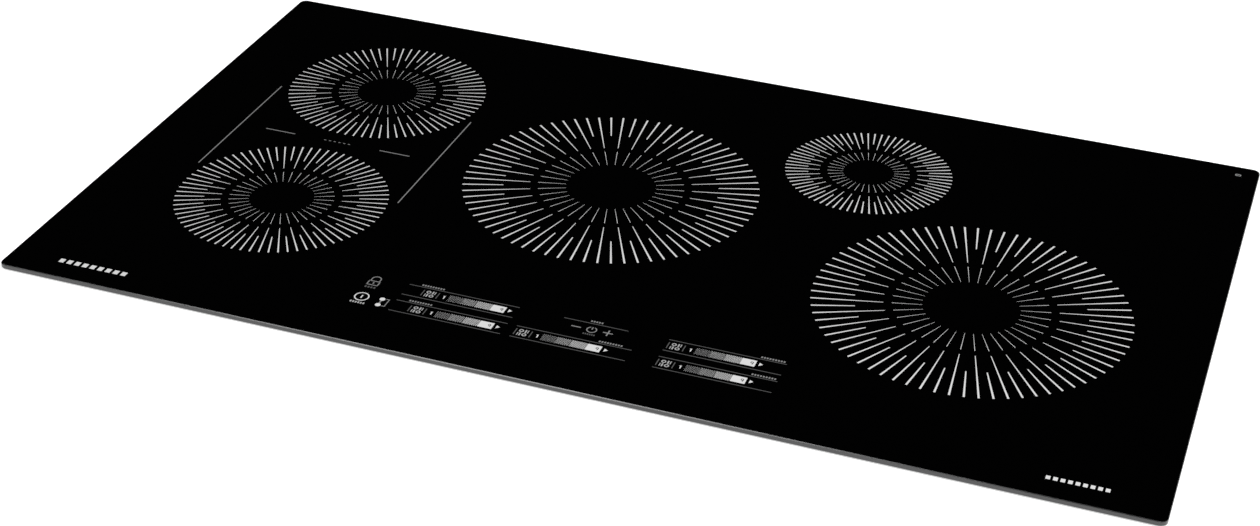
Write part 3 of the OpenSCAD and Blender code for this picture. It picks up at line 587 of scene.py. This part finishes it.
def zone_print(name, material):
    """A rosette of strokes that widen towards the rim, round the winding of the same name."""
    low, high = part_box(name + "_winding")
    centre = ((low.x + high.x) / 2 / MM, (low.y + high.y) / 2 / MM)
    radius = (high.x - low.x) / 2 / MM + WINDING_MARGIN
    rim = LARGE_STROKE if radius > LARGE_RADIUS else SMALL_STROKE
    ink = Ink()

    def stroke(angle, start, end):
        r0, r1 = start * radius, end * radius
        h0, h1 = (rim / 2 * share**TAPER / (share * radius) for share in (start, end))
        ink.patch([around(*centre, r, angle + t) for r, t in ((r0, -h0), (r1, -h1), (r1, h1), (r0, h0))])

    for k in range(STROKES):
        angle = 2 * math.pi * k / STROKES
        if k % 2:
            stroke(angle, RING_END + RING_GAP / radius, 1.0)
            stroke(angle, RING_START, RING_END)
        else:
            stroke(angle, SHORT_START, 1.0)
    ink.finish("print_" + name, material)


BRIDGE_HALF = 94.2  # from the left zones' middle to each long line
BRIDGE_FRONT, BRIDGE_REAR = -62.9, 94.2
BRIDGE_MIDDLE = 15.4  # where the short lines and the dashes run
BRIDGE_LINE = 1.0


def bridge_print(material):
    """Lines that join the two left zones."""
    low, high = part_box("left_rear_winding")
    x = (low.x + high.x) / 2 / MM
    ink = Ink()
    for side in (-1, 1):
        edge = x + side * BRIDGE_HALF
        ink.line((edge, BRIDGE_FRONT), (edge, BRIDGE_REAR), BRIDGE_LINE)
        ink.line((x + side * 41.0, BRIDGE_MIDDLE), (x + side * 69.5, BRIDGE_MIDDLE), BRIDGE_LINE)
    for k in range(6):
        ink.box(x + (k - 2.5) * 4.6, BRIDGE_MIDDLE, 2.0, 0.9)
    ink.finish("print_bridge", material)


# ---- Printed touch control ----

CONTROL_ORIGIN = (0.1, 0.45)
LINE = 0.7
DASH_SHARE = 0.62  # of the pitch
ROW_STEP = 24.9  # from one row of sliders to the next
TOP_ROW = -178.5  # the upper line of the top row
BLOCK_WIDTH, BLOCK_HEIGHT = 94.0, 15.5  # between a slider's two lines
TICKS = (1.5, 14.4)  # these and the next four are measured from a slider's start
SWITCH_X = 7.8
DIGIT_X = 20.1
BAR_X = 23.8
BOOST_X = 74.4
BAR_HEIGHT = 8.6
BAR_STEPS = (0.0, 12.0, 23.6, 36.5, 48.0)
BAR_SHARES = (0.11, 0.23, 0.41)  # how much of the first three steps their dots cover
DOT_PITCH = 1.6
TIMER = (10.1, -187.6)  # its switch ring
TIMER_LINE_Y = -179.0
MINUS_X, PLUS_X = -2.8, 23.5
LOCK = (-175.0, -187.4)
MAIN_SWITCH = (-175.0, -209.1)
BRIDGE_KEY = (-158.2, -211.1)
LEFT_MARK, RIGHT_MARK, REAR_MARK = (-392.5, -248.6), (399.0, -248.6), (447.8, 255.0)


def dashes(ink, x, y, width, height, count):
    """A row of short dashes in the place of a small label."""
    pitch = width / count
    for k in range(count):
        ink.box(x + (k - (count - 1) / 2) * pitch, y, pitch * DASH_SHARE, height)


def halftone(ink, start, end, y, share):
    """A step of the bar as square dots in staggered rows."""
    dot = DOT_PITCH * math.sqrt(share / 2)
    row_step = DOT_PITCH / 2
    rows = round(BAR_HEIGHT / row_step)
    for row in range(rows):
        row_y = y + (row - (rows - 1) / 2) * row_step
        x = start + dot / 2 + (row % 2) * row_step
        while x + dot / 2 <= end:
            ink.box(x, row_y, dot, dot)
            x += DOT_PITCH


def slider_bar(inks, x, y):
    """Four steps that get brighter to the right, with the digit 9 on the last."""
    for share, start, end in zip(BAR_SHARES, BAR_STEPS, BAR_STEPS[1:]):
        halftone(inks["white"], x + start, x + end, y, share)
    start, end = BAR_STEPS[-2:]
    inks["white"].box(x + (start + end) / 2, y, end - start, BAR_HEIGHT)
    nine_x, nine_y = x + end - 3.0, y + 0.7
    inks["dark"].arc((nine_x, nine_y), 1.0, 0.6, 0, 360, 16)
    inks["dark"].line((nine_x + 1.0, nine_y + 0.2), (nine_x + 0.5, nine_y - 2.6), 0.6)


def slider(inks, x, row, offset, label_x):
    """One slider between two lines: a switch mark, the digit 1, the bar and a boost mark."""
    top = TOP_ROW - row * ROW_STEP
    y = top - BLOCK_HEIGHT / 2
    for line_y in (top, top - BLOCK_HEIGHT):
        inks["dim"].line((x, line_y), (x + BLOCK_WIDTH, line_y), LINE)
    dashes(inks["grey"], x + label_x, top + 2.7, 20.0, 2.0, 9)
    start = x + offset
    for tick in TICKS:
        inks["dim"].line((start + tick, y - BAR_HEIGHT / 2), (start + tick, y + BAR_HEIGHT / 2), 0.8)
    mark, digit, boost = start + SWITCH_X, start + DIGIT_X, start + BOOST_X
    for side in (-1, 1):
        mark_y = y + side * 2.4
        inks["pale"].arc((mark - side * 1.9, mark_y), 1.5, 0.95, 0, 360, 16)
        inks["pale"].box(mark + side * 1.7, mark_y, 1.2, 4.0)
        inks["pale"].box(mark + side * 3.6, mark_y, 0.7, 4.0)
    inks["white"].box(digit, y, 0.9, 4.6)
    inks["white"].line((digit + 0.2, y + 2.1), (digit - 1.1, y + 1.1), 0.7)
    slider_bar(inks, start + BAR_X, y)
    inks["white"].patch([(boost, y - 2.0), (boost + 3.0, y + 0.6), (boost, y + 2.4)])


def switch_ring(ink, centre, radius, width):
    """A ring that is open at the top, with a short bar in the gap."""
    ink.arc(centre, radius, width, 115, 425, 32)
    ink.box(centre[0], centre[1] + radius * 0.55, width, radius * 0.9)


def timer(inks):
    """A minus, a switch ring and a plus under a line."""
    grey, dim = inks["grey"], inks["dim"]
    x, y = TIMER
    dim.line((x - 26.1, TIMER_LINE_Y), (x + 27.0, TIMER_LINE_Y), LINE)
    dashes(grey, x + 0.3, TIMER_LINE_Y + 3.1, 10.8, 2.0, 5)
    grey.box(MINUS_X, y, 8.0, 1.1)
    switch_ring(grey, TIMER, 3.8, 0.9)
    grey.box(PLUS_X, y, 8.0, 1.1)
    for side in (-1, 1):
        grey.box(PLUS_X, y + side * 2.3, 1.1, 3.4)
    dashes(dim, x, y - 6.8, 10.5, 1.8, 6)


def lock_key(inks):
    grey = inks["grey"]
    x, y = LOCK
    grey.arc((x, y + 6.0), 3.7, 0.9, 0, 180, 18)
    for side in (-1, 1):
        grey.box(x + side * 3.7, y + 4.4, 0.9, 3.0)
        grey.box(x + side * 4.5, y, 0.9, 5.8)
    for bar_y in (y + 2.8, y - 3.0):
        grey.box(x, bar_y, 9.9, 0.9)
    grey.box(x, y, 1.0, 2.4)
    dashes(inks["dim"], x, y - 6.6, 10.0, 2.2, 4)


def main_switch(inks):
    x, y = MAIN_SWITCH
    inks["white"].arc(MAIN_SWITCH, 5.6, 1.0, 0, 360, 40)
    inks["white"].box(x, y, 1.1, 4.4)
    dashes(inks["pale"], x, y - 8.8, 13.1, 2.4, 6)


def bridge_key(inks):
    """Two discs joined by a line, with a bracket at their right."""
    grey = inks["grey"]
    x, y = BRIDGE_KEY
    for disc_y in (y + 4.3, y - 4.4):
        inks["white"].disc((x, disc_y), 2.3)
    grey.line((x, y - 1.9), (x, y + 1.8), 1.2)
    for bar_y in (y + 5.2, y - 4.9):
        grey.line((x + 3.0, bar_y), (x + 6.0, bar_y), 0.8)
    grey.line((x + 5.6, y - 4.5), (x + 5.6, y + 4.8), 0.8)


def plain_marks(white, pale):
    """Rows of equal bars at the front corners and a small frame at the rear, in place of any mark."""
    dashes(white, *LEFT_MARK, 63.0, 5.4, 9)
    dashes(white, *RIGHT_MARK, 48.0, 4.2, 9)
    x, y = REAR_MARK
    for side in (-1, 1):
        pale.box(x + side * 2.1, y, 0.8, 3.2)
        pale.box(x, y + side * 1.3, 5.0, 0.8)


def touch_print(tones):
    """The whole touch control, one piece for each tone of ink."""
    inks = {name: Ink(origin=CONTROL_ORIGIN) for name in ("white", "pale", "grey", "dim")}
    inks["dark"] = Ink(2 * PRINT_RISE, CONTROL_ORIGIN)
    for row in (0, 1):
        slider(inks, -147.5, row, 13.1, 19.4)
        slider(inks, 70.4, row, 0.0, 82.6)
    slider(inks, -45.6, 1, 0.0, 76.1)
    timer(inks)
    lock_key(inks)
    main_switch(inks)
    bridge_key(inks)
    plain_marks(inks["white"], inks["pale"])
    for name, material in tones.items():
        inks[name].finish("print_control_" + name, material)


TONES = {
    "white": printed_enamel("printed_white", 0.74),
    "pale": printed_enamel("printed_pale", 0.43),
    "grey": printed_enamel("printed_grey", 0.25),
    "dim": printed_enamel("printed_dim", 0.1),
    "dark": printed_enamel("printed_dark", 0.004),
}

FINISHES = finish_cad_nodes()
for zone in ("left_rear", "left_front", "centre", "right_rear", "right_front"):
    zone_print(zone, TONES["white"])
bridge_print(TONES["grey"])
touch_print(TONES)

# ---- Threads ----

THREAD_PITCH = 1.25 * MM
THREAD_DEPTH = 0.55 * MM
THREAD_SIDES = 18
RINGS_PER_TURN = 6
HEX_SIDES = 6
PAD_SIDES = 36
HEAD_HEIGHT = 4.0 * MM
PAD_HEIGHT = 3.0 * MM
ROD_RADIUS = 3.0 * MM
CHAMFER = 0.6 * MM


def threaded_rod(bm, x, y, low, high, radius):
    """A closed rod whose radius follows a helical thread."""
    count = round((high - low) / THREAD_PITCH * RINGS_PER_TURN)
    rings = []
    for k in range(count + 1):
        z = low + (high - low) * k / count
        ring = []
        for j in range(THREAD_SIDES):
            turn = j / THREAD_SIDES
            phase = (z / THREAD_PITCH - turn) % 1.0
            r = radius - THREAD_DEPTH * abs(2 * phase - 1)
            ring.append(bm.verts.new((*around(x, y, r, 2 * math.pi * turn), z)))
        rings.append(ring)
    loft(bm, rings)


def turned(bm, x, y, profile, sides):
    """A closed solid of revolution from (radius, z) pairs, bottom to top."""
    angles = [2 * math.pi * j / sides for j in range(sides)]
    loft(bm, [[bm.verts.new((*around(x, y, r, angle), z)) for angle in angles] for r, z in profile])


def clamp_screw(corner, material):
    """A threaded clamp screw with a hexagonal head below and a round pad on top."""
    node = corner + "_clamp_screw"
    low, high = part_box(node)
    x, y = (low.x + high.x) / 2, (low.y + high.y) / 2
    radius = (high.y - low.y) / 2
    head_top = low.z + HEAD_HEIGHT
    pad_foot = high.z - PAD_HEIGHT
    head = [
        (radius - CHAMFER, low.z),
        (radius, low.z + CHAMFER),
        (radius, head_top - CHAMFER),
        (radius - CHAMFER, head_top),
    ]
    pad = [
        (radius - 2 * CHAMFER, pad_foot),
        (radius, pad_foot + CHAMFER),
        (radius, high.z - CHAMFER),
        (radius - CHAMFER, high.z),
    ]
    bm = bmesh.new()
    turned(bm, x, y, head, HEX_SIDES)
    threaded_rod(bm, x, y, head_top - CHAMFER, pad_foot + CHAMFER, ROD_RADIUS)
    turned(bm, x, y, pad, PAD_SIDES)
    made = build(node + "_threaded", bm, material)
    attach(made, corner + "_clamp")
    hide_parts(node)


for corner in ("left_front", "left_rear", "right_front", "right_rear"):
    clamp_screw(corner, FINISHES["zinc_fasteners"])

# ---- Springs and leads under the coil plates ----

SPRING_RADIUS = 5.0 * MM
WIRE_RADIUS = 0.6 * MM
OPEN_TURNS = 4
STEPS_PER_TURN = 24
WIRE_SIDES = 8
WELD = 1e-7  # vertices closer than this are joined
SLIVER_AREA = 1e-11  # faces smaller than this are dropped
SHARP_ANGLE = math.radians(40)


def spring_centres(node):
    """The middle of each spring of a CAD node, in the plane."""
    groups = []
    for vertex in nodes[node].data.vertices:
        place = vertex.co.xy
        near = [g for g in groups if (g[0] - place).length < 3 * SPRING_RADIUS]
        if near:
            near[0].append(place.copy())
        else:
            groups.append([place.copy()])
    middles = []
    for group in groups:
        xs, ys = [p.x for p in group], [p.y for p in group]
        middles.append(((min(xs) + max(xs)) / 2, (min(ys) + max(ys)) / 2))
    return middles


def coil_heights(foot, top):
    """The wire's height at each step: a flat end turn, the open turns, a flat end turn.

    Each flat turn rises by half the wire's thickness, and the wire ends one thickness under the top.
    """
    open_rise = (top - foot - 6 * WIRE_RADIUS) / OPEN_TURNS
    rises = [WIRE_RADIUS] + [open_rise] * OPEN_TURNS + [WIRE_RADIUS]
    heights = [foot + WIRE_RADIUS]
    for rise in rises:
        start = heights[-1]
        heights += [start + rise * (k + 1) / STEPS_PER_TURN for k in range(STEPS_PER_TURN)]
    return heights


def coil_spring(bm, x, y, heights):
    """A round wire wound into a closed solid along a helix."""
    rings = []
    for k, z in enumerate(heights):
        turn = 2 * math.pi * k / STEPS_PER_TURN
        ring = []
        for j in range(WIRE_SIDES):
            angle = 2 * math.pi * j / WIRE_SIDES
            r, rise = around(SPRING_RADIUS - WIRE_RADIUS, z, WIRE_RADIUS, angle)
            ring.append(bm.verts.new((*around(x, y, r, turn), rise)))
        rings.append(ring)
    loft(bm, rings)


def flexing(made, node):
    """The piece stands for a CAD node between housing and coil plate: it hangs from the housing, the node
    is hidden, and the piece gets a mesh of its own.
    """
    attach(made, "housing")
    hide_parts(node)
    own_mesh(made)


def plate_springs(side):
    """Wound springs on the posts of one coil plate."""
    node = side + "_plate_springs"
    low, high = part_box(node)
    bm = bmesh.new()
    for x, y in spring_centres(node):
        coil_spring(bm, x, y, coil_heights(low.z, high.z))
    bmesh.ops.reverse_faces(bm, faces=bm.faces)  # the wire's rings run clockwise along it
    made = build(node + "_wound", bm, FINISHES["spring_steel"])
    for face in made.data.polygons:
        face.use_smooth = len(face.vertices) == 4
    flexing(made, node)


def coil_leads(side):
    """The sleeved leads from one side's coils down to the boards, shaped as in CAD without its slivers."""
    node = side + "_coil_leads"
    bm = bmesh.new()
    bm.from_mesh(nodes[node].data)
    bmesh.ops.remove_doubles(bm, verts=bm.verts, dist=WELD)
    slivers = [face for face in bm.faces if face.calc_area() < SLIVER_AREA]
    bmesh.ops.delete(bm, geom=slivers, context="FACES")
    for face in bm.faces:
        face.smooth = True
    for edge in bm.edges:
        edge.smooth = edge.calc_face_angle(0.0) < SHARP_ANGLE
    made = build(node + "_sleeved", bm, FINISHES["lead_insulation"])
    flexing(made, node)


for side in ("left", "right"):
    plate_springs(side)
    coil_leads(side)
